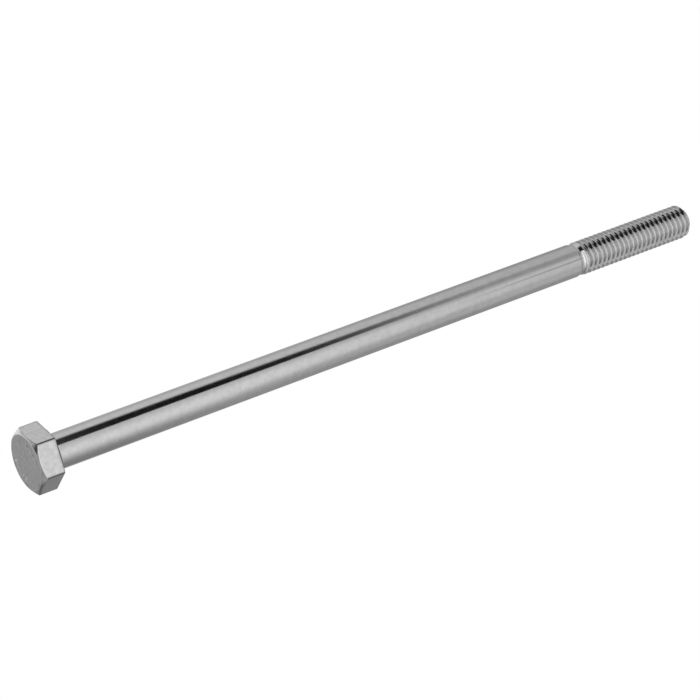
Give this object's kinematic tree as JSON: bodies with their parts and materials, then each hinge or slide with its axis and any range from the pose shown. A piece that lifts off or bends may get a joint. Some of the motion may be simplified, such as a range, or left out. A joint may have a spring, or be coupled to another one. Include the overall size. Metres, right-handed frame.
{
  "type": "hex bolt",
  "caption": "Long hexagon head bolt in zinc-plated steel, with a plain round shank and a short metric thread at its far end; it clamps a thick stack of parts together.",
  "frame": {"origin": "centre of the bearing face under the head, on the bolt's axis", "axes": "+X along the bolt's axis, from the head to the point of the thread; +Z square to the uppermost wrench flat; +Y towards a corner of the hexagon"},
  "size_m": [0.1341, 0.0112, 0.0098],
  "materials": {
    "head_zinc": "cold-forged steel, bright zinc plated",
    "shank_zinc": "drawn steel, bright zinc plated, smooth",
    "thread_zinc": "rolled thread, bright zinc plated"
  },
  "bodies": {
    "root": {"hex_head": "head_zinc", "plain_shank": "shank_zinc", "threaded_end": "thread_zinc"}
  },
  "joints": []
}
